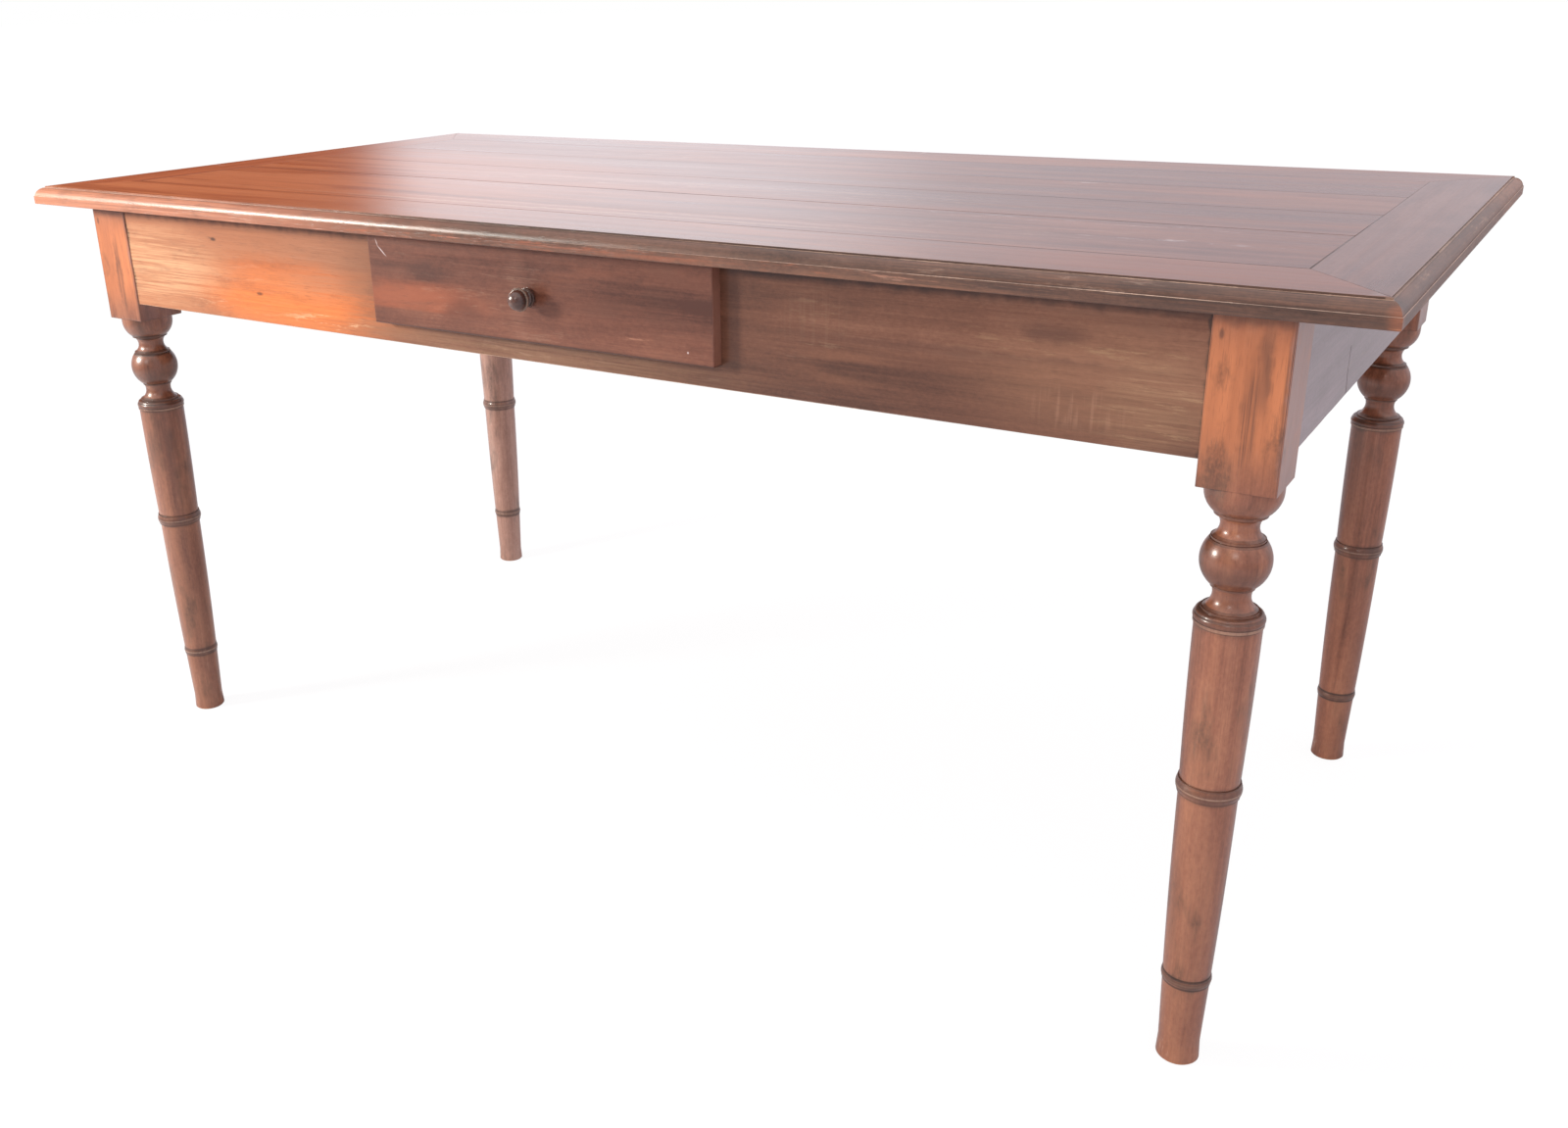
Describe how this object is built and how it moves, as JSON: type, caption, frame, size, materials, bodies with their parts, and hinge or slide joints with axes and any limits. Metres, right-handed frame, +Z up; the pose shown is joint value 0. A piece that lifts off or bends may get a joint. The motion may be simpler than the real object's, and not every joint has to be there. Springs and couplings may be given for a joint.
{
  "type": "kitchen table",
  "caption": "Rectangular wooden kitchen table with turned legs, a moulded plank top and a lipped drawer with a turned knob in the long apron.",
  "frame": {"origin": "on the floor under the middle of the table top", "axes": "+X along the table to the right as seen from the drawer, -Y out through the drawer front, +Z up"},
  "size_m": [1.66, 0.8278, 0.76],
  "materials": {
    "stained_top": "satin",
    "stained_legs": "satin",
    "stained_aprons": "satin",
    "plain_softwood": "matte",
    "iron": "satin"
  },
  "bodies": {
    "table": {"top_front_border": "stained_top", "top_back_border": "stained_top", "top_right_border": "stained_top", "top_left_border": "stained_top", "plank_front": "stained_top", "plank_middle_front": "stained_top", "plank_middle_rear": "stained_top", "plank_rear": "stained_top", "mitre_keys": "plain_softwood", "leg_front_left": "stained_legs", "leg_front_right": "stained_legs", "leg_back_left": "stained_legs", "leg_back_right": "stained_legs", "apron_front": "stained_aprons", "apron_back": "stained_aprons", "apron_left": "stained_aprons", "apron_right": "stained_aprons", "cleat_back": "plain_softwood", "cleat_front_left": "plain_softwood", "cleat_front_right": "plain_softwood", "cleat_left": "plain_softwood", "cleat_right": "plain_softwood", "cleat_screws": "iron", "runner_left": "plain_softwood", "guide_left": "plain_softwood", "runner_right": "plain_softwood", "guide_right": "plain_softwood", "guide_nails": "iron"},
    "drawer": {"drawer_front": "stained_aprons", "drawer_side_left": "plain_softwood", "drawer_side_right": "plain_softwood", "drawer_back": "plain_softwood", "drawer_bottom": "plain_softwood", "drawer_bottom_nails": "iron", "drawer_knob": "stained_aprons"}
  },
  "joints": [
    {"name": "drawer_slide", "type": "slide", "parent": "table", "child": "drawer", "axis": [0, -1, 0], "range_m": [0, 0.33]}
  ]
}
